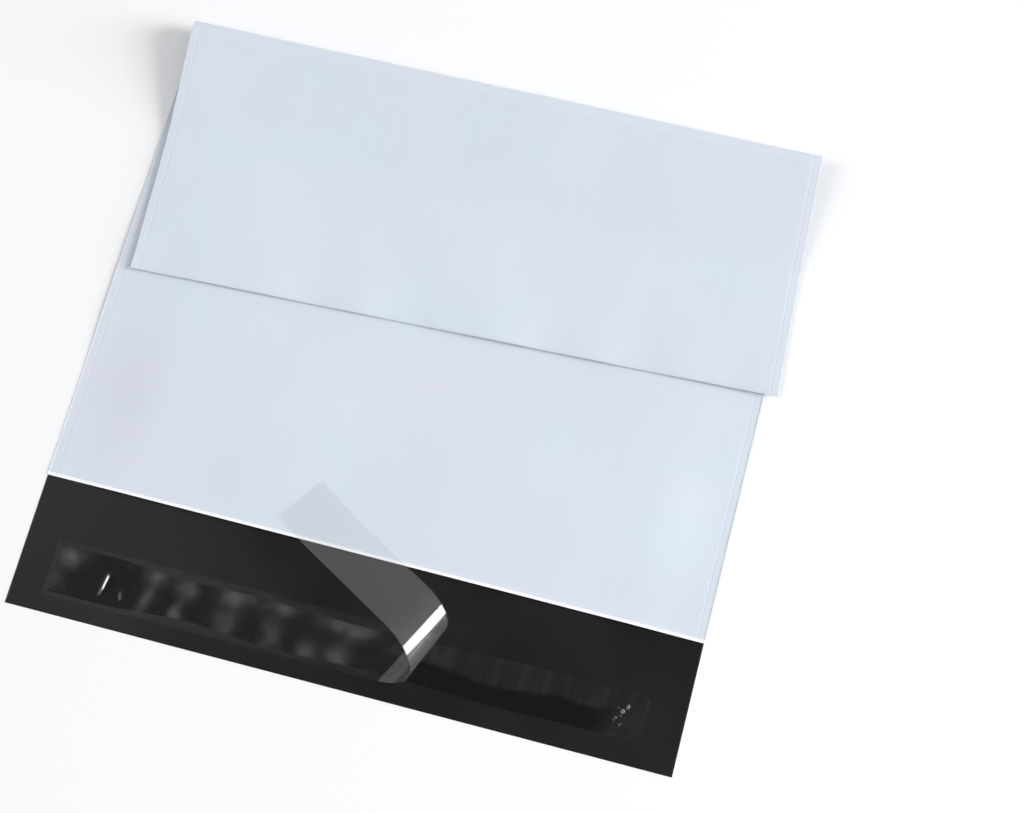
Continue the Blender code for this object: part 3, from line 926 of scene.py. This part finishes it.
def makeGlueBand(material):
    band = addObject("adhesive_layer", bpy.data.meshes.new("adhesive_layer"))
    centre = bagOrigin + Vector((0.0, stripMiddle, glue["base"]))
    values = {
        "Length": glue["length"], "Width": glue["width"], "Thickness": glue["thickness"],
        "Edge Wander": glue["edgeWander"], "Step": glue["step"], "Across Step": glue["acrossStep"],
        "Drops": glue["drops"], "Smallest": glue["smallest"], "Largest": glue["largest"],
        "Height": glue["height"], "Sunk": glue["sunk"], "Seed": glue["seed"],
        "Centre": tuple(centre), "Material": material,
    }
    runTree(band, makeGlueTree(values), values)
    band.data.set_sharp_from_angle(angle=glue["sharpAngle"])
    return band


# Floor, lamps and camera

stage = {
    "floor": (0.90, 0.905, 0.91, 1.0),
    "floorReach": 7.0,
    "floorRoughness": 0.9,
    "floorSpecular": 0.1,
    "world": (0.49, 0.495, 0.505, 1.0),
    "elevation": math.radians(72.71),
    "azimuth": math.radians(14.74),
    "distance": 0.8210,
    "focal": 2191.8,  # in pixels of the image
    "imageWidth": 1024,
    "sensorWidth": 36.0,
    "lookAt": (0.0348, 0.1193, 0.0),  # from the middle of the flap's edge
}

lamps = {
    "rightWindow": {
        "place": (2.9, 0.42, 0.76), "aim": (0.0, 0.0, 0.0),
        "width": 2.35, "height": 1.45, "radiance": 15.5,
    },
    "leftFill": {
        "place": (-1.9, -0.6, 2.1), "aim": (0.0, 0.1, 0.0),
        "width": 1.8, "height": 1.4, "radiance": 2.7,
    },
}


def makeStage():
    mesh = bpy.data.meshes.new("floor")
    reach = stage["floorReach"]
    corners = [(-reach, -reach, 0.0), (reach, -reach, 0.0), (reach, reach, 0.0), (-reach, reach, 0.0)]
    mesh.from_pydata(corners, [], [(0, 1, 2, 3)])
    floor = addObject("floor", mesh)
    material, nodes, shader = newMaterial("pale_floor")
    setShader(nodes, shader, Base_Color=stage["floor"], Roughness=stage["floorRoughness"])
    setShader(nodes, shader, Specular_IOR_Level=stage["floorSpecular"])
    mesh.materials.append(material)
    world = bpy.data.worlds.new("studio")
    world.use_nodes = True
    world.node_tree.nodes["Background"].inputs[0].default_value = stage["world"]
    scene.world = world
    scene.view_settings.view_transform = "Standard"


def addLamp(name, place, aim, width, height, radiance):
    data = bpy.data.lights.new(name, "AREA")
    data.shape = "RECTANGLE"
    data.size, data.size_y = width, height
    data.energy = radiance * math.pi * width * height
    lamp = addObject(name, data)
    lamp.location = place
    lamp.rotation_euler = (Vector(aim) - Vector(place)).to_track_quat("-Z", "Z").to_euler()


def makeCamera():
    elevation, azimuth = stage["elevation"], stage["azimuth"]
    level = math.cos(elevation)
    away = Vector((math.sin(azimuth) * level, -math.cos(azimuth) * level, math.sin(elevation)))
    right = Vector((math.cos(azimuth), math.sin(azimuth), 0.0))
    facing = Matrix((right, away.cross(right), away)).transposed()
    data = bpy.data.cameras.new("camera")
    data.sensor_width = stage["sensorWidth"]
    data.lens = stage["focal"] / stage["imageWidth"] * stage["sensorWidth"]
    camera = addObject("camera", data)
    place = bagOrigin + Vector(stage["lookAt"]) + stage["distance"] * away
    camera.matrix_world = Matrix.Translation(place) @ facing.to_4x4()
    scene.camera = camera


makeCamera()
makeStage()
for lampName, lamp in lamps.items():
    addLamp(lampName, **lamp)
print("camera, floor and lamps are set")

whiteSide = makeWhiteFilm(mouth=webLength, side=film["width"] / 2)
bagFilm = makeBagFilm(whiteSide, makeBlackFilm(side=film["width"] / 2))
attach(bagFilm, "root")
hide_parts("mailer_film")
print("the film is folded:", len(bagFilm.data.polygons), "faces")

glueBand = makeGlueBand(makeGlue(bagOrigin, peelLean, stripMiddle))
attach(glueBand, "root")
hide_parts("adhesive_band")
print("the glue is laid:", len(glueBand.data.polygons), "faces")

clinging = makeLinerFilm("clinging_film", clingingFilm)
releaseLiner = makeLiner(clinging, makeLinerFilm("peeled_film", peeledFilm))
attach(releaseLiner, "root")
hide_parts("release_liner")
print("the liner is peeled back:", len(releaseLiner.data.polygons), "faces")
